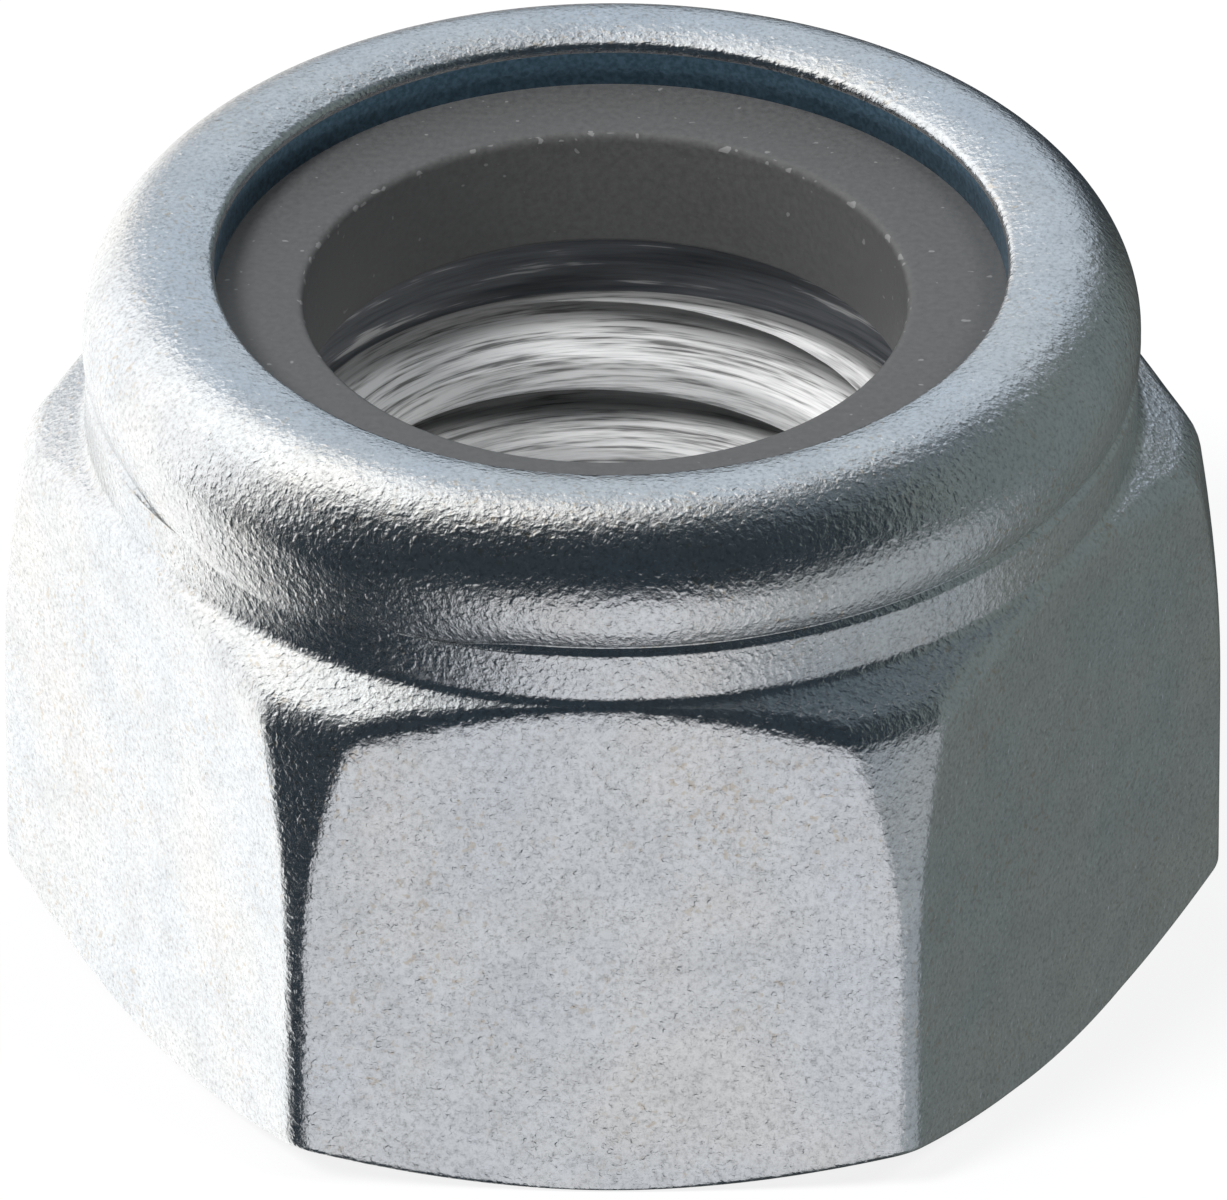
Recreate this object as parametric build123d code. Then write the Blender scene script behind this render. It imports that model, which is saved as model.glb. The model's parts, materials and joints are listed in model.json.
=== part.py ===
from build123d import *
from math import cos, radians, sin, tan
import os

# An M8 nylon insert lock nut in two pieces: a cold-formed steel nut, and a nylon ring
# held in its collar. Millimetres and degrees. Z is the thread axis, pointing from the
# bearing face (z = 0) to the collar. The hexagon's corners lie along X, its flats face Y.

# The nut as a whole
across_flats = 13.0             # spanner size
overall_height = 9.4            # bearing face to the crown of the collar

# Hexagon
corner_rounding = 0.25          # radius of the six upright edges
bearing_face_radius = 6.43      # rim of the flat underside
chamfer_angle = 30.0            # slope of the cones that trim both ends of the hexagon
corner_relief = 0.3             # how far a corner has drawn in where it meets the top cone
corner_relief_length = 3.9      # height over which it draws in
relief_run_out = 0.02           # how far outside the corner the relief's curve starts

# Neck and collar
neck_height = 0.85              # flats' upper edge to the crease under the collar
neck_inset = 0.1                # neck's wall inside the plane of the flats
neck_fillet = 0.4               # hollow between the top cone and the neck
crease_height = 0.1             # mouth of the crease
crease_depth = 0.08
collar_height = 1.57            # crease to crown
collar_inset = 0.07             # collar's widest point inside the plane of the flats
collar_swell = 0.06             # how much the collar widens above the crease
collar_roll = 1.1               # radius to which the collar's rim is rolled in
collar_wall = 0.68              # thickness beside the insert
lip_slope = 15.0                # fall of the rolled rim towards the middle
lip_land = 0.23                 # width of that slope, inside the roll
lip_bevel = 0.08                # upper edge of the opening
lip_depth = 0.65                # crown down to the lip's underside

# Nylon insert and its seat
insert_thickness = 1.55
insert_hole_radius = 3.66
insert_rim_bevel = 0.35         # shoulder that the rolled collar presses on
insert_hole_bevel = 0.12        # upper edge of the hole
insert_clearance = 0.02         # between the insert's rim and the collar's wall

# Thread, as the plain bore that is drilled for it
thread_diameter = 8.0
thread_pitch = 1.25
drill_allowance = 0.05          # drilled diameter beyond the nominal less a pitch
countersink_margin = 0.2        # radius of the countersink's mouth beyond the thread
countersink_angle = 45.0        # slope of the countersink in the bearing face
recess_margin = 0.15            # radius of the recess under the insert beyond the thread
recess_depth = 1.0              # insert's seat down to the recess's flat floor

# Heights, from the bearing face up
half_flats = across_flats / 2
crease = overall_height - collar_height
flats_top = crease - neck_height
insert_top = overall_height - lip_depth
seat = insert_top - insert_thickness
recess_floor = seat - recess_depth

# Radii
corner_tip = half_flats / cos(radians(30)) - corner_rounding * (1 / cos(radians(30)) - 1)
relieved_corner = corner_tip - corner_relief
neck_radius = half_flats - neck_inset
collar_radius = half_flats - collar_inset
lip_radius = collar_radius - collar_roll * (1 + sin(radians(lip_slope))) - lip_land
insert_radius = collar_radius - collar_wall
thread_radius = thread_diameter / 2
thread_minor_radius = (thread_diameter - thread_pitch + drill_allowance) / 2
countersink_radius = thread_radius + countersink_margin
recess_radius = thread_radius + recess_margin


def rise(run, slope):
    """Height gained over a horizontal run along a line of this slope."""
    return run * tan(radians(slope))


def outside_below_relief():
    """Underside and lower cone, then clear of the hexagon up to the foot of the relief."""
    clear_radius = corner_tip + across_flats / 20
    cone_top = rise(clear_radius - bearing_face_radius, chamfer_angle)
    relief_foot = relief_top() - corner_relief_length
    return Polyline(
        (countersink_radius, 0),
        (bearing_face_radius, 0),
        (clear_radius, cone_top),
        (clear_radius, relief_foot),
        (corner_tip + relief_run_out, relief_foot),
    )


def relief_top():
    """Height at which the relieved corner meets the top cone."""
    return flats_top - rise(relieved_corner - half_flats, chamfer_angle)


def top_and_bore():
    """Top cone, neck, crease, rolled collar, then the inside down to the bearing face."""
    neck_foot = flats_top + rise(half_flats - neck_radius, chamfer_angle)
    roll_start = overall_height - collar_roll
    roll_corner = roll_start + collar_roll / cos(radians(lip_slope)) + rise(collar_roll, lip_slope)
    lip_edge = roll_corner - rise(collar_radius - lip_radius - lip_bevel, lip_slope)
    countersink = rise(countersink_radius - thread_minor_radius, countersink_angle)
    corners = [
        (neck_radius, neck_foot, neck_fillet),
        (neck_radius, crease - crease_height, 0),
        (neck_radius - crease_depth, crease - crease_height / 2, 0),
        (collar_radius - collar_swell, crease, 0),
        (collar_radius, (crease + roll_start) / 2, 0),
        (collar_radius, roll_corner, collar_roll),
        (lip_radius + lip_bevel, lip_edge, 0),
        (lip_radius, lip_edge - lip_bevel, 0),
        (lip_radius, insert_top, 0),
        (insert_radius - insert_rim_bevel, insert_top, 0),
        (insert_radius, insert_top - insert_rim_bevel, 0),
        (insert_radius, seat, 0),
        (recess_radius, seat, 0),
        (recess_radius, recess_floor, 0),
        (thread_minor_radius, recess_floor, 0),
        (thread_minor_radius, countersink, 0),
    ]
    return FilletPolyline(
        (relieved_corner, relief_top()),
        *[(radius, height) for radius, height, _ in corners],
        (countersink_radius, 0),
        radius=[rounding for _, _, rounding in corners],
    )


def make_nut_body():
    """A hexagonal bar trimmed by the nut's turned form, bored and countersunk."""
    below = outside_below_relief()
    relief = TangentArc(below @ 1, (relieved_corner, relief_top()), tangent=(0, 1))
    half_section = make_face(below + relief + top_and_bore())
    turned_form = revolve(Plane.XZ * half_section, Axis.Z)
    hexagon = RegularPolygon(half_flats, 6, major_radius=False)
    hexagon = fillet(hexagon.vertices(), corner_rounding)
    return extrude(hexagon, overall_height) & turned_form


def make_nylon_insert():
    """The ring that fills the collar, from its seat to the underside of the lip."""
    rim_radius = insert_radius - insert_clearance
    half_section = Polyline(
        (insert_hole_radius, seat),
        (rim_radius, seat),
        (rim_radius, insert_top - insert_rim_bevel),
        (rim_radius - insert_rim_bevel, insert_top),
        (insert_hole_radius + insert_hole_bevel, insert_top),
        (insert_hole_radius, insert_top - insert_hole_bevel),
        close=True,
    )
    return revolve(Plane.XZ * make_face(half_section), Axis.Z)


os.makedirs("parts", exist_ok=True)
export_step(make_nut_body(), "parts/nut_body.step")
export_step(make_nylon_insert(), "parts/nylon_insert.step")
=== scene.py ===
import json
from math import atan2, cos, pi, radians, sin, sqrt, tan

import bmesh
import bpy
import numpy as np
from mathutils import Matrix, Vector


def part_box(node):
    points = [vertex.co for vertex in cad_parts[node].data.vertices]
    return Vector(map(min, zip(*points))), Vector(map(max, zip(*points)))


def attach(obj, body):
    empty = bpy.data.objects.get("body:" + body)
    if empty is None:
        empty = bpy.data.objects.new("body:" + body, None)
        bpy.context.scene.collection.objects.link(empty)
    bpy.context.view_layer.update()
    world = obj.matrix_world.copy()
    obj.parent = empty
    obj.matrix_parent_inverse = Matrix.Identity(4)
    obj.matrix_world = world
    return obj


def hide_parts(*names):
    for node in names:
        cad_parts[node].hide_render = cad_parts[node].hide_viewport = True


MM = 0.001
MICRON = 0.000001
SAME_POINT = 2e-8               # points nearer than this, in metres, are one
NO_LENGTH = 1e-8                # edges shorter than this, in metres, are removed

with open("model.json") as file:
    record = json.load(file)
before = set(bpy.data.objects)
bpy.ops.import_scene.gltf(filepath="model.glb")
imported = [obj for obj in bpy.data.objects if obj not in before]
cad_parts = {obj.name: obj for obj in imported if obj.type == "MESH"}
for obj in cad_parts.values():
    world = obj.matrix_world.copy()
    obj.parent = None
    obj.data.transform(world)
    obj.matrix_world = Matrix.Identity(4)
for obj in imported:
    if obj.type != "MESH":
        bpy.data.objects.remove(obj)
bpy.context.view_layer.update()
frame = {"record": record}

# ---------------------------------------------------------------- sizes, in millimetres
# Outer sizes come from the frame. Those that its boxes don't show are written here.
nut_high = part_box("nut_body")[1]
ring_low, ring_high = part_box("nylon_insert")
mounts = {mount["name"]: mount for mount in frame["record"]["mounts"]}

HALF_FLATS = nut_high.y / MM
HEIGHT = nut_high.z / MM
SEAT = ring_low.z / MM
RING_TOP = ring_high.z / MM
RING_RIM = ring_high.x / MM
THREAD_MINOR = mounts["thread"]["dims"]["r_mm"]
RING_HOLE = mounts["locking_bore"]["dims"]["r_mm"]

# the hexagon
CORNER_ROUNDING = 0.42
CORNER_TIP = HALF_FLATS / cos(pi / 6) - CORNER_ROUNDING * (1 / cos(pi / 6) - 1)
BEARING_RADIUS = 6.43
CHAMFER = radians(30)
RELIEF = 0.3                    # how far the corners are drawn in at the top
RELIEF_LENGTH = 3.9
RELIEF_RUN_OUT = 0.02
RELIEF_BLEND = 0.04             # softness of the change from flat to relief
EDGE_BOTTOM = 0.16              # radius of the rounding at the flats' lower edges
EDGE_TOP = 0.5                  # and at their upper edges
TOP_BEND_INWARD = 0.8           # its reach up the top cone, as a share of that down the flat
RIM_BEND = 0.06                 # rounding of the bearing face's rim
MOST_OF_BEVEL = 0.4             # the share of a narrow bevel that a rounding may take
MOST_OF_CONE = 0.45             # and the share of the top cone
FACE_MARGIN = 0.35              # from the bearing face's rim to the section's first point
OUTSIDE = 8                     # a radius well outside the corners
WALL_TOP_STEPS = 6              # enough for the search in wall_top to settle

# the neck, the crease, the collar and its lip
NECK_RADIUS = HALF_FLATS - 0.1
NECK_FILLET = 0.16
COLLAR_RADIUS = HALF_FLATS - 0.07
COLLAR_ROLL = 1.1
COLLAR_TUCK = 0.06              # how far the collar's lower edge is drawn in
ROLL_START = HEIGHT - COLLAR_ROLL
CREASE = HEIGHT - 1.57
CREASE_START = CREASE - 0.12
CREASE_BOTTOM = CREASE - 0.05
CREASE_DEPTH = 0.08
FLATS_TOP = CREASE - 0.85
LIP_TILT = 15                   # degrees
LIP_SLOPE = radians(LIP_TILT)
LIP_RADIUS = COLLAR_RADIUS - COLLAR_ROLL * (1 + sin(LIP_SLOPE)) - 0.23
LIP_EDGE = 0.1                  # how far the rounding of its edge reaches to either side
UNDERSIDE_STEP = 0.25           # between the points on the lip's underside

# where the crimping pushed the collar's lower edge down
CRIMP_DIP = 0.50
CRIMP_DIP_AT = 232              # degrees
CRIMP_DIP_REACH = 32            # degrees to either side
CRIMP_DIP_START = CREASE_START - 0.01
CRIMP_DIP_FULL = CREASE + 0.1   # the dip fades out from here up to the roll

# the bore
GROOVE_RADIUS = RING_RIM + 0.02
SHOULDER = 0.35                 # bevel of the ring's rim and of the groove round it
RECESS_RADIUS = 4.15
RECESS_FLOOR = SEAT - 1.0
RECESS_FILLET = 0.06            # how far the rounding of its upper edge reaches
RECESS_CORNER = 0.05            # and that of the corner round its floor
RECESS_ROW = 0.4                # depth at which its wall has a row of points
FLOOR_MARGIN = 0.06             # from its wall to the first points on its floor
COUNTERSINK_RADIUS = 4.2
COUNTERSINK_MARGIN = 0.3        # from the countersink's edge to the face's first points
THREAD_MAJOR = 4.0
PITCH = 1.25
THREAD_START = 0.7              # height at which a groove's middle crosses +X
THREAD_BLUR = 0.02              # rounds the thread's edges
FLANK = radians(30)             # half the angle between a groove's flanks
ROOT = PITCH / 16               # half the width of a groove's flat root
MOUTH = ROOT + (THREAD_MAJOR - THREAD_MINOR) * tan(FLANK)
EDGE_BREAK = 0.04               # rounding where the tapped wall meets the recess's floor
WALL_BLEND = 0.02               # softness of the change from thread to countersink

# the nylon ring
HOLE_EDGE = 0.12                # how far the rounding of the hole's upper edge reaches
HOLE_UNDER_EDGE = 0.05          # and that of its lower edge
TOP_ROW = 0.5                   # from the hole to a row of points on the ring's top
UNDER_ROWS = (0.6, 1.0)         # and to the two rows on its underside
HOLE_SHIFT = -0.07              # along x, as the ring was pressed in slightly off centre

# points round the axis
CORNER_SPAN = 6                 # degrees to either side of a corner, where they lie closest
CORNER_POINTS = 32
FLAT_POINTS = 40
BORE_POINTS = 320
RING_POINTS = 256

# the materials' places in the lists that make_nut and make_ring are given
PLATING, CUT, SHADED_RECESS, SHADED = range(4)
CLEAN, EDGE_HIGHLIGHT = range(2)
SHADED_BANDS = 2                # the lip's inner wall and its underside, in painted shade
EDGE_HIGHLIGHT_BANDS = (7, 8, 9)       # the middle of the rounding of the hole's upper edge, pale-specked as a painted highlight

# ---------------------------------------------------------------- camera, floor and light
VIEW_AZIMUTH = radians(1.19)
VIEW_ELEVATION = radians(33.187)
VIEW_ROLL = radians(-0.156)
VIEW_DISTANCE = 27.6            # in widths across flats
PIXELS_PER_FLATS = 1064.96      # picture pixels per width across flats
PICTURE_WIDTH = 1227
SENSOR_WIDTH = 36.0
AIM = (-0.0012, 0.025, 0.3632)  # right, up and height of the aim, in widths across flats

FLOOR_REACH = 0.5               # metres from the middle to each side
FLOOR_LEVEL = 0.75              # the floor's grey to rays that don't come from the camera
FLOOR_SHADOW = 0.14             # its grey to the camera, which a shadow darkens
FLOOR_GLOW = 0.84               # its glow to the camera, which no shadow darkens

# Each lamp's strength and the direction in which it shines.
LAMP_SPREAD = radians(18)
LAMPS = {
    "lamp_left": (3.0, (0.50, 0.42, -0.76)),
    "lamp_right": (1.2, (-0.55, 0.30, -0.78)),
}

# The studio's light by direction, as the metal reflects it. SURROUNDINGS is its colour away
# from the patches. Each patch is named after what shows it from the photograph's side, and
# has the direction towards it, the angles in degrees inside which it is full and outside
# which it is gone, and its colour.
SURROUNDINGS = (0.03, 0.041, 0.051)
LIGHT_PATCHES = {
    "front of the crown": ((-0.18, 0.30, 1.0), 7, 22, (1.05, 1.05, 1.05)),
    "cone at the left front corner": ((-0.56, 0.28, 0.80), 20, 31, (1.3, 1.3, 1.28)),
    "top of the crown": ((-0.15, 1.0, 0.60), 25, 46, (0.55, 0.62, 0.69)),
    "left of the roll": ((-0.90, 0.42, 0.25), 28, 46, (1.2, 1.2, 1.2)),
    "left flat": ((-0.66, 0.60, -0.48), 28, 48, (1.24, 1.24, 1.23)),
    "front flat": ((0.05, -0.84, -0.60), 20, 34, (0.69, 0.70, 0.725)),
    "cone at the right front corner": ((0.45, 0.15, 0.88), 8, 24, (0.13, 0.165, 0.19)),
    "right front edge": ((0.72, -0.43, -0.55), 18, 40, (0.36, 0.39, 0.41)),
    "right of the roll": ((0.85, 0.30, 0.20), 34, 51, (0.17, 0.20, 0.20)),
    "right flat": ((0.75, 0.30, -0.55), 20, 60, (0.155, 0.175, 0.17)),
}

# ---------------------------------------------------------------- looks
# the colours of the plating, and the painted shade of the recess under the ring and of the lip's
# inner wall
ZINC_COOL = (0.82, 0.85, 0.88)
ZINC_WARM = (0.88, 0.88, 0.87)
RUST = (0.62, 0.52, 0.40)
RECESS_SHADE_DARK = (0.09, 0.10, 0.11)
RECESS_SHADE_PALE = (0.19, 0.20, 0.215)
SHADE_DARK = (0.20, 0.36, 0.50)
SHADE_PALE = (0.34, 0.58, 0.78)

# how closely the surfaces' features lie, in features per metre
FINE_GRAIN = 17000
COARSE_GRAIN = 8000
PITTING = 13000
CLOUDS = 450
SMUDGES = 1500
RUST_SPECKS = 11000
RUST_PATCHES = 700
THREAD_LINES = 12000
RECESS_LINES = 9000
SHADED_GRAIN = 15000
NYLON_MOTTLE = 12000
NYLON_DUST_AND_HIGHLIGHT = 9000

DRAWN_OUT = (0.06, 0.06, 1)     # slows the tool lines' noise round the axis, not along it
ROOT_SHADE_START = THREAD_MAJOR - 0.24    # the radii between which painted shade darkens the grooves
ROOT_SHADE_FULL = THREAD_MAJOR - 0.06


# ---------------------------------------------------------------- outlines
def resample(path, count):
    """The same path with count points, evenly spaced along it."""
    path = np.asarray(path, float)
    steps = np.hypot(*np.diff(path, axis=0).T)
    along = np.concatenate([[0], np.cumsum(steps)])
    at = np.linspace(0, along[-1], count)
    return np.stack([np.interp(at, along, path[:, k]) for k in (0, 1)], 1)


def bend(start, corner, end, count):
    """A rounded corner: points of a quadratic curve from start to end."""
    t = np.linspace(0, 1, count)[:, None]
    start, corner, end = (np.asarray(p, float) for p in (start, corner, end))
    return start * (1 - t) ** 2 + 2 * corner * t * (1 - t) + end * t**2


def arc(centre, radius, first, last, count):
    """Points of an arc, with angles in degrees from the horizontal."""
    angles = np.radians(np.linspace(first, last, count))
    across = centre[0] + radius * np.cos(angles)
    up = centre[1] + radius * np.sin(angles)
    return np.stack([across, up], 1)


def rounded(corners):
    """A path through (radius, height, tangent length, points) corners, with bends at them."""
    path = [corners[0][:2]]
    for before, (r, z, tangent, count), after in zip(corners, corners[1:], corners[2:]):
        here = np.array([r, z])
        back = np.array(before[:2]) - here
        ahead = np.array(after[:2]) - here
        back *= tangent / np.hypot(*back)
        ahead *= tangent / np.hypot(*ahead)
        path.extend(bend(here + back, here, here + ahead, count).tolist())
    path.append(corners[-1][:2])
    return np.array(path)


def soft_min(a, b, softness):
    """The smaller of two lengths, with the change-over rounded."""
    blend = np.clip(0.5 + 0.5 * (b - a) / softness, 0, 1)
    return b + (a - b) * blend - softness * blend * (1 - blend)


def round_the_axis(first, last, count):
    """Angles in radians from first to last, given in degrees, without the last."""
    return np.radians(np.linspace(first, last, count, endpoint=False))


# ---------------------------------------------------------------- meshes
class Skin:
    """Collects rings of vertices and the faces between them."""

    def __init__(self):
        self.points = []
        self.faces = []
        self.materials = []

    def ring(self, angles, radii, heights, shift=0.0):
        """Adds a ring, moved along x by shift, and returns the numbers of its vertices."""
        first = len(self.points)
        radii = np.broadcast_to(radii, angles.shape)
        heights = np.broadcast_to(heights, angles.shape)
        self.points.extend(zip(radii * np.cos(angles) + shift, radii * np.sin(angles), heights))
        return list(range(first, len(self.points)))

    def face(self, corners, material):
        """Adds one face with its material's number."""
        self.faces.append(corners)
        self.materials.append(material)

    def band(self, lower, upper, material):
        """Joins two closed rings of equal count with quads."""
        self.strip(lower + lower[:1], upper + upper[:1], material)

    def strip(self, lower, upper, material):
        """Joins two rows of equal count with quads, without closing them."""
        for i in range(len(lower) - 1):
            self.face((lower[i], lower[i + 1], upper[i + 1], upper[i]), material)

    def zip_rings(self, first, first_angles, second, second_angles, material):
        """Joins two flat rings of different counts with triangles."""
        i = j = 0
        while i < len(first) or j < len(second):
            next_i = first_angles[i + 1] if i + 1 < len(first) else first_angles[0] + 2 * pi
            next_j = second_angles[j + 1] if j + 1 < len(second) else second_angles[0] + 2 * pi
            a, b = first[i % len(first)], second[j % len(second)]
            if j >= len(second) or (i < len(first) and next_i <= next_j):
                self.face((a, first[(i + 1) % len(first)], b), material)
                i += 1
            else:
                self.face((a, second[(j + 1) % len(second)], b), material)
                j += 1

    def build(self, name, materials):
        """Makes the mesh object, with shared points merged and all its faces smooth."""
        mesh = bpy.data.meshes.new(name)
        points = [tuple(MM * c for c in p) for p in self.points]
        mesh.from_pydata(points, [], self.faces)
        for material in materials:
            mesh.materials.append(material)
        mesh.polygons.foreach_set("material_index", self.materials)
        mesh.polygons.foreach_set("use_smooth", [True] * len(mesh.polygons))
        mesh.validate()
        mesh.update()
        piece = bpy.data.objects.new(name, mesh)
        bpy.context.scene.collection.objects.link(piece)
        close(piece)
        return piece


def close(piece):
    """Merges the points that rings share, and turns the faces outwards."""
    work = bmesh.new()
    work.from_mesh(piece.data)
    bmesh.ops.remove_doubles(work, verts=work.verts, dist=SAME_POINT)
    bmesh.ops.dissolve_degenerate(work, dist=NO_LENGTH, edges=work.edges)
    bmesh.ops.recalc_face_normals(work, faces=work.faces)
    work.to_mesh(piece.data)
    open_edges = sum(1 for edge in work.edges if len(edge.link_faces) != 2)
    print(piece.name, "faces", len(work.faces), "open edges", open_edges)
    work.free()


# ---------------------------------------------------------------- the steel nut
def hexagon_radius(angle):
    """Distance from the axis to the hexagon's side, its upright edges rounded."""
    from_flat = abs((angle % (pi / 3)) - pi / 6)
    centre = (HALF_FLATS - CORNER_ROUNDING) / cos(pi / 6)
    from_corner = pi / 6 - from_flat
    tangent = atan2((HALF_FLATS - CORNER_ROUNDING) * tan(pi / 6), HALF_FLATS)
    if from_flat < tangent:
        return HALF_FLATS / cos(from_flat)
    rise = sqrt(CORNER_ROUNDING**2 - (centre * sin(from_corner)) ** 2)
    return centre * cos(from_corner) + rise


def wall_radius(side, height):
    """The hexagon's side, drawn in by the relief at the top of the corners."""
    foot = FLATS_TOP - (CORNER_TIP - RELIEF - HALF_FLATS) * tan(CHAMFER) - RELIEF_LENGTH
    reach = RELIEF + RELIEF_RUN_OUT
    radius = (reach**2 + RELIEF_LENGTH**2) / (2 * reach)
    rise = np.maximum(np.asarray(height, float) - foot, 0)
    relief = CORNER_TIP + RELIEF_RUN_OUT - (radius - np.sqrt(radius**2 - rise**2))
    return soft_min(np.full_like(relief, side), relief, RELIEF_BLEND)


def top_cone():
    """From well outside the hexagon, up the top cone and round the hollow to the neck."""
    radii = np.linspace(OUTSIDE, NECK_RADIUS + NECK_FILLET / 2, 60)
    heights = FLATS_TOP - (radii - HALF_FLATS) * tan(CHAMFER)
    centre = (NECK_RADIUS + NECK_FILLET, heights[-1] + NECK_FILLET * cos(CHAMFER))
    hollow = arc(centre, NECK_FILLET, 240, 180, count=24)
    return np.concatenate([np.stack([radii, heights], 1), hollow[1:]])


TOP_CONE = top_cone()


def cone_height(radius):
    """Height of the top cone at a radius."""
    return np.interp(radius, TOP_CONE[::-1, 0], TOP_CONE[::-1, 1])


def cone_inside(radius):
    """The stretch of the top cone inside a radius."""
    inside = TOP_CONE[TOP_CONE[:, 0] < radius]
    return np.concatenate([[(radius, cone_height(radius))], inside])


def wall_top(side):
    """Radius and height where the wall meets the top cone, by stepping between the two."""
    height = FLATS_TOP
    for _ in range(WALL_TOP_STEPS):
        radius = float(wall_radius(side, height))
        height = float(cone_height(radius))
    return radius, height


def hexagon_section(angle):
    """Half-section of the hexagon at one angle, from the bearing face to the neck."""
    side = hexagon_radius(angle)
    slope = np.array([cos(CHAMFER), sin(CHAMFER)])
    rim = np.array([BEARING_RADIUS, 0])
    length = (side - BEARING_RADIUS) / cos(CHAMFER)
    corner = rim + slope * length
    rim_bend = min(RIM_BEND, MOST_OF_BEVEL * length)
    edge_bend = min(EDGE_BOTTOM * tan(CHAMFER), MOST_OF_BEVEL * length)
    bevel = [rim + slope * rim_bend, corner - slope * edge_bend]
    radius, height = wall_top(side)
    top_bend = EDGE_TOP * tan(CHAMFER)
    inward = min(TOP_BEND_INWARD * top_bend, MOST_OF_CONE * (radius - NECK_RADIUS))
    upper = cone_inside(radius - inward)
    wall_heights = np.linspace(corner[1] + edge_bend, height - top_bend, 22)
    wall = np.stack([wall_radius(side, wall_heights), wall_heights], 1)
    return np.concatenate([
        [(BEARING_RADIUS - FACE_MARGIN, 0)],
        bend(rim - (rim_bend, 0), rim, bevel[0], count=4),
        resample(bevel, count=5)[1:],
        bend(bevel[1], corner, wall[0], count=6)[1:],
        wall[1:],
        bend(wall[-1], (radius, height), upper[0], count=6)[1:],
        resample(upper, count=14)[1:],
    ])


def collar_section():
    """Half-section of the neck, crease, collar and lip, to the underside of the lip."""
    below_roll = rounded([
        (NECK_RADIUS, TOP_CONE[-1][1], 0, 1),
        (NECK_RADIUS, CREASE_START, 0.03, 4),
        (NECK_RADIUS - CREASE_DEPTH, CREASE_BOTTOM, 0.02, 4),
        (COLLAR_RADIUS - COLLAR_TUCK, CREASE, 0.03, 4),
        (COLLAR_RADIUS, (CREASE + ROLL_START) / 2, 0.1, 5),
        (COLLAR_RADIUS, ROLL_START, 0, 1),
    ])
    roll = arc((COLLAR_RADIUS - COLLAR_ROLL, ROLL_START), COLLAR_ROLL, 0, 90 + LIP_TILT, count=30)
    edge = roll[-1][1] - (roll[-1][0] - LIP_RADIUS) * tan(LIP_SLOPE)
    lip = rounded([
        (*roll[-1], 0, 1),
        (LIP_RADIUS, edge, LIP_EDGE, 7),
        (LIP_RADIUS, RING_TOP, 0, 1),
        (LIP_RADIUS + UNDERSIDE_STEP, RING_TOP, 0, 1),
    ])
    return np.concatenate([below_roll[1:], roll[1:], lip[1:]])


def crimp_dip(angles, height):
    """How far the crimping pushed the collar's lower edge down, the roll staying put."""
    away = np.degrees(angles) % 360 - CRIMP_DIP_AT
    lobe = np.cos(np.clip(away / CRIMP_DIP_REACH, -1, 1) * pi / 2) ** 2
    steps = (CRIMP_DIP_START, CREASE_START, CRIMP_DIP_FULL, ROLL_START)
    return CRIMP_DIP * lobe * np.interp(height, steps, (0, 1, 1, 0))


def thread_radius(offset):
    """Radius of the threaded wall at a height above or below a groove's middle."""
    near = np.abs((offset + PITCH / 2) % PITCH - PITCH / 2)
    blur = (-THREAD_BLUR, 0, THREAD_BLUR)
    radii = (THREAD_MAJOR, THREAD_MINOR)
    return sum(np.interp(near + b, (ROOT, MOUTH), radii) for b in blur) / len(blur)


def wall_below_floor(height, offset):
    """The tapped wall with its countersink, and a broken edge at the recess's floor."""
    countersink = COUNTERSINK_RADIUS - height
    edge_break = np.maximum(EDGE_BREAK - (RECESS_FLOOR - height), 0)
    return -soft_min(-countersink, -(thread_radius(offset) + edge_break), WALL_BLEND)


def thread_rows():
    """Heights above and below a groove's middle where the wall has points, from the top."""
    sides = [ROOT + step for step in (-0.02, 0.02, 0.06, 0.14, 0.22)]
    sides += [MOUTH + step for step in (-0.06, -0.02, 0.02, 0.06)]
    return sorted([0, PITCH / 2] + sides + [-side for side in sides], reverse=True)


def thread_rings(skin, turn):
    """Helical rows of points down the tapped wall, kept between the floor and the face.

    Where the first row starts and the last one ends, the skin has a slit at right angles
    to the floor and to the face: 0.65 by 0.04 mm above, and 0.36 by 0.05 mm below.
    """
    climb = turn / (2 * pi) * PITCH
    rings = []
    for n in range(int(RECESS_FLOOR / PITCH) + 1, -3, -1):
        for row in thread_rows():
            heights = np.clip(THREAD_START + n * PITCH + row + climb, 0, RECESS_FLOOR)
            if heights.min() >= RECESS_FLOOR or heights.max() <= 0:
                continue
            offsets = heights - climb - THREAD_START
            rings.append(skin.ring(turn, wall_below_floor(heights, offsets), heights))
    return rings


def recess_section():
    """Half-section from the lip's underside, round the ring's groove, to the recess's floor."""
    return rounded([
        (LIP_RADIUS + 2 * UNDERSIDE_STEP, RING_TOP, 0, 1),
        (GROOVE_RADIUS - SHOULDER, RING_TOP, 0, 1),
        (GROOVE_RADIUS, RING_TOP - SHOULDER, 0, 1),
        (GROOVE_RADIUS, SEAT, 0, 1),
        (RECESS_RADIUS, SEAT, RECESS_FILLET, 5),
        (RECESS_RADIUS, SEAT - RECESS_ROW, 0, 1),
        (RECESS_RADIUS, RECESS_FLOOR, RECESS_CORNER, 4),
        (RECESS_RADIUS - FLOOR_MARGIN, RECESS_FLOOR, 0, 1),
    ])


def add_bore(skin, angles):
    """The inside, from the groove that holds the ring down to the bearing face.

    Its rows end a whole turn from where they start, so that a helical row can end one
    pitch higher, where the row above it starts.
    """
    turn = np.append(angles, angles[0] + 2 * pi)
    rings = [skin.ring(turn, r, z) for r, z in recess_section()]
    recess_bands = len(rings) - 1
    rings += thread_rings(skin, turn)
    rings.append(skin.ring(turn, COUNTERSINK_RADIUS + COUNTERSINK_MARGIN, 0))
    # the recess's bands get the steel darkened with painted shade, the tapped wall the cut steel
    for number, (upper, lower) in enumerate(zip(rings, rings[1:])):
        skin.strip(upper, lower, SHADED_RECESS if number < recess_bands else CUT)
    return rings[0][:-1], rings[-1][:-1]


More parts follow.
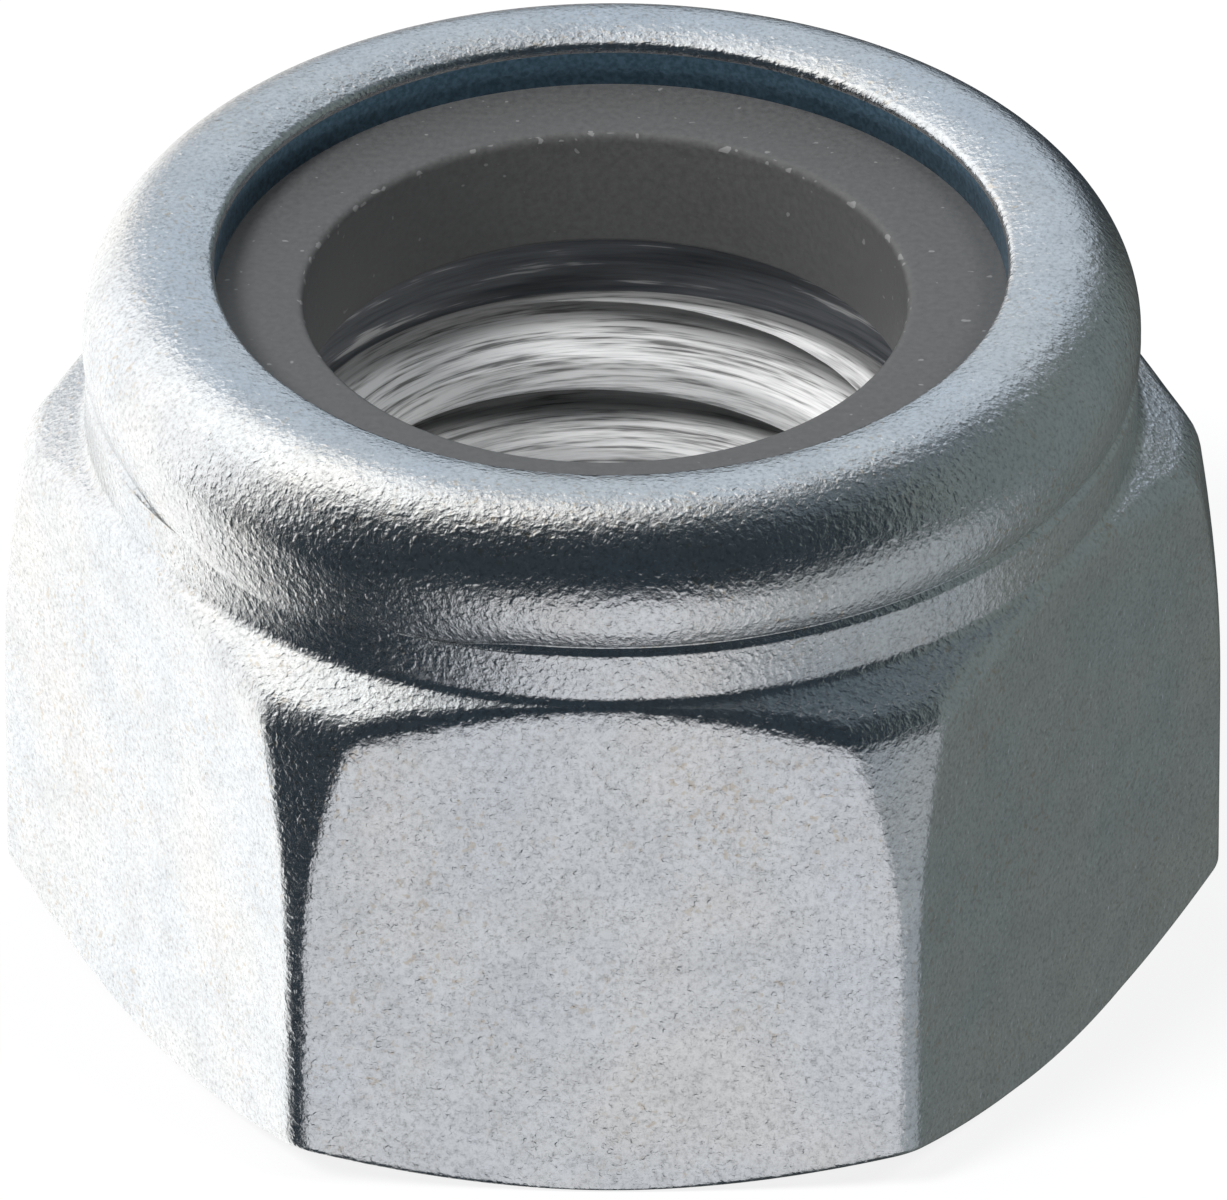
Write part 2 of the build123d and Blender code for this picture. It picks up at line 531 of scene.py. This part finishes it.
def nut_angles():
    """Angles round the outside, closest together at the corners."""
    angles = []
    for corner in range(0, 360, 60):
        flat_start = corner + CORNER_SPAN
        flat_end = corner + 60 - CORNER_SPAN
        angles.append(round_the_axis(corner - CORNER_SPAN, flat_start, CORNER_POINTS))
        angles.append(round_the_axis(flat_start, flat_end, FLAT_POINTS))
    return np.concatenate(angles)


def make_nut(materials):
    """The whole nut as one skin."""
    skin = Skin()
    angles = nut_angles()
    sections = np.array([hexagon_section(a) for a in angles])
    rings = [skin.ring(angles, *sections[:, row].T) for row in range(sections.shape[1])]
    rings += [skin.ring(angles, r, z - crimp_dip(angles, z)) for r, z in collar_section()]
    first_shaded = len(rings) - 1 - SHADED_BANDS
    for number, (lower, upper) in enumerate(zip(rings, rings[1:])):
        skin.band(lower, upper, SHADED if number >= first_shaded else PLATING)
    bore_angles = round_the_axis(-CORNER_SPAN, 360 - CORNER_SPAN, BORE_POINTS)
    groove_ring, face_ring = add_bore(skin, bore_angles)
    skin.zip_rings(rings[-1], angles, groove_ring, bore_angles, PLATING)
    skin.zip_rings(rings[0], angles, face_ring, bore_angles, PLATING)
    return skin.build("steel_nut", materials)


# ---------------------------------------------------------------- the nylon ring
def ring_section():
    """Half-section of the ring, from its underside all the way round to it again."""
    return rounded([
        (RING_HOLE + UNDER_ROWS[0], SEAT, 0, 1),
        (RING_HOLE, SEAT, HOLE_UNDER_EDGE, 4),
        (RING_HOLE, (SEAT + RING_TOP) / 2, 0, 1),
        (RING_HOLE, RING_TOP, HOLE_EDGE, 7),
        (RING_HOLE + TOP_ROW, RING_TOP, 0, 1),
        (LIP_RADIUS, RING_TOP, 0, 1),
        (RING_RIM - SHOULDER, RING_TOP, 0, 1),
        (RING_RIM, RING_TOP - SHOULDER, 0, 1),
        (RING_RIM, SEAT, 0, 1),
        (RING_HOLE + UNDER_ROWS[1], SEAT, 0, 1),
    ])


def make_ring(materials):
    """The nylon ring. Its hole is off centre, and its rim isn't."""
    skin = Skin()
    angles = round_the_axis(0, 360, RING_POINTS)
    rings = []
    for r, z in ring_section():
        nearness = max(0, 1 - (r - RING_HOLE) / (LIP_RADIUS - RING_HOLE))
        rings.append(skin.ring(angles, r, z, HOLE_SHIFT * nearness))
    # the rounding of the hole's upper edge gets the nylon with a painted highlight
    for number, (lower, upper) in enumerate(zip(rings, rings[1:] + rings[:1])):
        skin.band(lower, upper, EDGE_HIGHLIGHT if number in EDGE_HIGHLIGHT_BANDS else CLEAN)
    return skin.build("nylon_ring", materials)


# ---------------------------------------------------------------- shader nodes
def new_material(name):
    """A node material, its node tree and its Principled shader."""
    material = bpy.data.materials.new(name)
    material.use_nodes = True
    return material, material.node_tree, material.node_tree.nodes["Principled BSDF"]


def object_coordinates(tree):
    """A point's place on its piece, in metres."""
    return tree.nodes.new("ShaderNodeTexCoord").outputs["Object"]


def grey(level):
    """A colour with no hue."""
    return (level, level, level)


def noise(tree, vector, scale, detail, roughness=0.5):
    """A noise texture's value over a vector, in features per metre."""
    node = tree.nodes.new("ShaderNodeTexNoise")
    node.inputs["Scale"].default_value = scale
    node.inputs["Detail"].default_value = detail
    node.inputs["Roughness"].default_value = roughness
    tree.links.new(vector, node.inputs["Vector"])
    return node.outputs["Fac"]


def ramp(tree, value, *stops):
    """A colour ramp over a value. Each stop is a position and a colour."""
    node = tree.nodes.new("ShaderNodeValToRGB")
    elements = node.color_ramp.elements
    while len(elements) < len(stops):
        elements.new(0.5)
    for element, (position, colour) in zip(elements, stops):
        element.position = position
        element.color = (*colour, 1)
    tree.links.new(value, node.inputs["Fac"])
    return node.outputs["Color"]


def map_range(tree, value, low, high, interpolation):
    """0 to 1 as a value goes from low to high."""
    node = tree.nodes.new("ShaderNodeMapRange")
    node.interpolation_type = interpolation
    node.inputs["From Min"].default_value = low
    node.inputs["From Max"].default_value = high
    tree.links.new(value, node.inputs["Value"])
    return node.outputs["Result"]


def bump(tree, height, distance, strength, normal=None):
    """The normal of a surface raised by a height map, over an earlier normal if given."""
    node = tree.nodes.new("ShaderNodeBump")
    node.inputs["Distance"].default_value = distance
    node.inputs["Strength"].default_value = strength
    tree.links.new(height, node.inputs["Height"])
    if normal:
        tree.links.new(normal, node.inputs["Normal"])
    return node.outputs["Normal"]


def mix(tree, first, second, amount, mode="MIX"):
    """Two colours blended by an amount, which is a number or a socket."""
    node = tree.nodes.new("ShaderNodeMix")
    node.data_type = "RGBA"
    node.blend_type = mode
    for name, value in (("A", first), ("B", second)):
        if isinstance(value, tuple):
            node.inputs[name].default_value = (*value, 1)
        else:
            tree.links.new(value, node.inputs[name])
    if isinstance(amount, (int, float)):
        node.inputs["Factor"].default_value = amount
    else:
        tree.links.new(amount, node.inputs["Factor"])
    return node.outputs["Result"]


def multiply(tree, first, second, amount=1.0):
    """The first colour times the second, as far as the amount says."""
    return mix(tree, first, second, amount, "MULTIPLY")


def vector_math(tree, operation, *operands):
    """A vector node over sockets and fixed vectors."""
    node = tree.nodes.new("ShaderNodeVectorMath")
    node.operation = operation
    for socket, value in zip(node.inputs, operands):
        if isinstance(value, (tuple, Vector)):
            socket.default_value = value
        else:
            tree.links.new(value, socket)
    return node


def tool_lines(tree, place, scale):
    """Noise drawn out into lines round the axis, and each point's distance from the axis."""
    level = vector_math(tree, "MULTIPLY", place, (1, 1, 0)).outputs["Vector"]
    radius = vector_math(tree, "LENGTH", level).outputs["Value"]
    rise = tree.nodes.new("ShaderNodeCombineXYZ")
    tree.links.new(radius, rise.inputs["Z"])
    drawn_out = vector_math(tree, "MULTIPLY_ADD", place, DRAWN_OUT, rise.outputs["Vector"])
    lines = noise(tree, drawn_out.outputs["Vector"], scale, detail=3, roughness=0.65)
    return lines, radius


# ---------------------------------------------------------------- materials
def plating_colour(tree, place, fine):
    """Pale, faintly clouded zinc, darker between its grains, with a few warm specks."""
    clouds = noise(tree, place, CLOUDS, detail=3)
    smudges = noise(tree, place, SMUDGES, detail=4, roughness=0.6)
    specks = noise(tree, place, RUST_SPECKS, detail=1)
    patches = noise(tree, place, RUST_PATCHES, detail=2)
    zinc = ramp(tree, clouds, (0.35, ZINC_COOL), (0.65, ZINC_WARM))
    smudged = ramp(tree, smudges, (0.35, grey(0.92)), (0.6, grey(1)))
    grain = ramp(tree, fine, (0.32, grey(0.66)), (0.46, grey(0.90)), (0.60, grey(1.0)))
    specked = ramp(tree, specks, (0.60, grey(0)), (0.72, grey(1)))
    patchy = ramp(tree, patches, (0.46, grey(0)), (0.62, grey(0.6)))
    clean = multiply(tree, multiply(tree, zinc, smudged), grain)
    return mix(tree, clean, RUST, multiply(tree, specked, patchy))


def zinc_material():
    """Zinc-plated steel: satin, with a fine sandy grain and small pits."""
    material, tree, shader = new_material("zinc_plated_steel")
    place = object_coordinates(tree)
    fine = noise(tree, place, FINE_GRAIN, detail=4, roughness=0.65)
    coarse = noise(tree, place, COARSE_GRAIN, detail=1)
    pitting = noise(tree, place, PITTING, detail=1)
    pits = ramp(tree, pitting, (0.50, grey(0)), (0.80, grey(1)))
    satin = ramp(tree, coarse, (0.3, grey(0.14)), (0.7, grey(0.21)))
    grained = bump(tree, fine, 9 * MICRON, strength=0.9)
    pitted = bump(tree, pits, 5.5 * MICRON, strength=1.0, normal=grained)
    uneven = bump(tree, coarse, 16 * MICRON, strength=0.6, normal=pitted)
    shader.inputs["Metallic"].default_value = 1.0
    tree.links.new(plating_colour(tree, place, fine), shader.inputs["Base Color"])
    tree.links.new(satin, shader.inputs["Roughness"])
    tree.links.new(uneven, shader.inputs["Normal"])
    return material


def thread_material():
    """Bright cut steel, with tool lines round the bore and painted shade at the groove's root."""
    material, tree, shader = new_material("cut_steel")
    lines, radius = tool_lines(tree, object_coordinates(tree), THREAD_LINES)
    # painted shade: the colour darkens towards the groove's root, where shade falls
    root_shade = map_range(tree, radius, ROOT_SHADE_START * MM, ROOT_SHADE_FULL * MM, "LINEAR")
    bright = ramp(tree, lines, (0.34, grey(0.22)), (0.45, grey(0.72)), (0.57, grey(1.0)))
    satin = ramp(tree, lines, (0.3, grey(0.30)), (0.7, grey(0.42)))
    shader.inputs["Metallic"].default_value = 0.30
    tree.links.new(multiply(tree, bright, grey(0.32), root_shade), shader.inputs["Base Color"])
    tree.links.new(satin, shader.inputs["Roughness"])
    tree.links.new(bump(tree, lines, 8 * MICRON, strength=0.6), shader.inputs["Normal"])
    return material


def recess_material():
    """Dull steel under the ring, its colour darkened as painted shade, with a few bright tool
    scratches.
    """
    material, tree, shader = new_material("dull_steel")
    lines, _ = tool_lines(tree, object_coordinates(tree), RECESS_LINES)
    # painted shade: dark colours in place of the shade in the recess under the ring
    shades = ramp(tree, lines, (0.3, RECESS_SHADE_DARK), (0.60, RECESS_SHADE_PALE), (0.68, grey(0.6)))
    shader.inputs["Metallic"].default_value = 0.7
    shader.inputs["Roughness"].default_value = 0.45
    tree.links.new(shades, shader.inputs["Base Color"])
    tree.links.new(bump(tree, lines, 6 * MICRON, strength=0.5), shader.inputs["Normal"])
    return material


def lip_material():
    """The collar's inner wall above the ring: plating darkened with painted shade, with a blue
    cast.
    """
    material, tree, shader = new_material("shaded_plating")
    fine = noise(tree, object_coordinates(tree), SHADED_GRAIN, detail=2)
    # painted shade: dark blue colours in place of the shade on the lip's inner wall
    shades = ramp(tree, fine, (0.35, SHADE_DARK), (0.65, SHADE_PALE))
    shader.inputs["Metallic"].default_value = 1.0
    shader.inputs["Roughness"].default_value = 0.34
    tree.links.new(shades, shader.inputs["Base Color"])
    tree.links.new(bump(tree, fine, 10 * MICRON, strength=0.8), shader.inputs["Normal"])
    return material


def nylon_material(name, dust_and_highlight_level):
    """Dark grey nylon, matt, with faint mottling and pale specks above a noise level: dust at a
    high level, a painted highlight at a low one.
    """
    material, tree, shader = new_material(name)
    place = object_coordinates(tree)
    mottle = noise(tree, place, NYLON_MOTTLE, detail=3, roughness=0.6)
    specks = noise(tree, place, NYLON_DUST_AND_HIGHLIGHT, detail=0)
    body = ramp(tree, mottle, (0.3, grey(0.072)), (0.7, grey(0.102)))
    dust_and_highlight = ramp(tree, specks, (dust_and_highlight_level, grey(0)), (dust_and_highlight_level + 0.03, grey(1)))
    matt = ramp(tree, mottle, (0.3, grey(0.45)), (0.7, grey(0.6)))
    tree.links.new(mix(tree, body, grey(0.19), dust_and_highlight), shader.inputs["Base Color"])
    tree.links.new(matt, shader.inputs["Roughness"])
    tree.links.new(bump(tree, mottle, 5 * MICRON, strength=0.5), shader.inputs["Normal"])
    return material


def floor_material():
    """White as the camera sees it, with a faint shadow, and pale grey to everything else."""
    material, tree, shader = new_material("pale_floor")
    seen = tree.nodes.new("ShaderNodeLightPath").outputs["Is Camera Ray"]
    lit = mix(tree, grey(FLOOR_LEVEL), grey(FLOOR_SHADOW), seen)
    glow = mix(tree, grey(0), grey(FLOOR_GLOW), seen)
    shader.inputs["Emission Strength"].default_value = 1.0
    shader.inputs["Roughness"].default_value = 1.0
    shader.inputs["Specular IOR Level"].default_value = 0.0
    tree.links.new(lit, shader.inputs["Base Color"])
    tree.links.new(glow, shader.inputs["Emission Color"])
    return material


# ---------------------------------------------------------------- camera, floor and light
def add_camera():
    """The photograph's view, from the front and above with a long lens."""
    width = 2 * HALF_FLATS * MM
    a, e = VIEW_AZIMUTH, VIEW_ELEVATION
    forward = Vector((-sin(a) * cos(e), cos(a) * cos(e), -sin(e)))
    right = Vector((cos(a), sin(a), 0))
    up = right.cross(forward)
    target = Vector((0, 0, AIM[2] * width)) - right * AIM[0] * width - up * AIM[1] * width
    place = target - forward * VIEW_DISTANCE * width
    turned = Matrix.Rotation(-VIEW_ROLL, 3, forward)
    axes = Matrix((turned @ right, turned @ up, -forward)).transposed()
    camera = bpy.data.objects.new("camera", bpy.data.cameras.new("camera"))
    camera.data.sensor_fit = "HORIZONTAL"
    camera.data.sensor_width = SENSOR_WIDTH
    camera.data.lens = PIXELS_PER_FLATS * VIEW_DISTANCE * SENSOR_WIDTH / PICTURE_WIDTH
    camera.data.clip_start = 0.01
    camera.data.clip_end = 10
    camera.matrix_world = Matrix.Translation(place) @ axes.to_4x4()
    bpy.context.scene.collection.objects.link(camera)
    bpy.context.scene.camera = camera


def add_floor():
    """A pale floor under the nut, which the metal doesn't reflect."""
    reach = FLOOR_REACH
    corners = [(-reach, -reach, 0), (reach, -reach, 0), (reach, reach, 0), (-reach, reach, 0)]
    mesh = bpy.data.meshes.new("floor")
    mesh.from_pydata(corners, [], [(0, 1, 2, 3)])
    mesh.materials.append(floor_material())
    floor = bpy.data.objects.new("floor", mesh)
    floor.visible_glossy = False
    bpy.context.scene.collection.objects.link(floor)


def add_lamp(name, strength, away):
    """A soft lamp shining along a direction. It lights the matt parts and the bore."""
    data = bpy.data.lights.new(name, "SUN")
    data.energy = strength
    data.angle = LAMP_SPREAD
    lamp = bpy.data.objects.new(name, data)
    lamp.rotation_euler = Vector(away).to_track_quat("-Z", "Y").to_euler()
    lamp.visible_glossy = False
    bpy.context.scene.collection.objects.link(lamp)


def light_patch(tree, direction, towards, full, gone, colour):
    """One soft round light of the studio."""
    facing = vector_math(tree, "DOT_PRODUCT", direction, Vector(towards).normalized())
    near = cos(radians(full))
    far = cos(radians(gone))
    inside = map_range(tree, facing.outputs["Value"], far, near, "SMOOTHSTEP")
    patch = vector_math(tree, "SCALE", colour)
    tree.links.new(inside, patch.inputs["Scale"])
    return patch.outputs["Vector"]


def add_world():
    """A studio by direction, as the metal sees it. The camera sees it as white."""
    world = bpy.data.worlds.new("studio")
    world.use_nodes = True
    tree = world.node_tree
    direction = tree.nodes.new("ShaderNodeTexCoord").outputs["Generated"]
    light = SURROUNDINGS
    for towards, full, gone, colour in LIGHT_PATCHES.values():
        patch = light_patch(tree, direction, towards, full, gone, colour)
        light = vector_math(tree, "MAXIMUM", light, patch).outputs["Vector"]
    seen = tree.nodes.new("ShaderNodeLightPath").outputs["Is Camera Ray"]
    background = tree.nodes["Background"]
    tree.links.new(mix(tree, light, grey(1), seen), background.inputs["Color"])
    bpy.context.scene.world = world


# ---------------------------------------------------------------- the scene
plating = zinc_material()
cut_steel = thread_material()
# steel for the recess, darkened with painted shade
dull_steel = recess_material()
shaded_plating = lip_material()
nylon = nylon_material("grey_nylon", dust_and_highlight_level=0.81)
# painted highlight: dense pale specks along the rounding of the hole's upper edge
scuffed_nylon = nylon_material("scuffed_nylon", dust_and_highlight_level=0.66)
nut = make_nut([plating, cut_steel, dull_steel, shaded_plating])
ring = make_ring([nylon, scuffed_nylon])
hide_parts("nut_body")
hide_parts("nylon_insert")
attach(nut, "root")
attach(ring, "root")
add_floor()
for lamp_name, (strength, away) in LAMPS.items():
    add_lamp(lamp_name, strength, away)
add_world()
add_camera()
bpy.context.scene.view_settings.view_transform = "Standard"
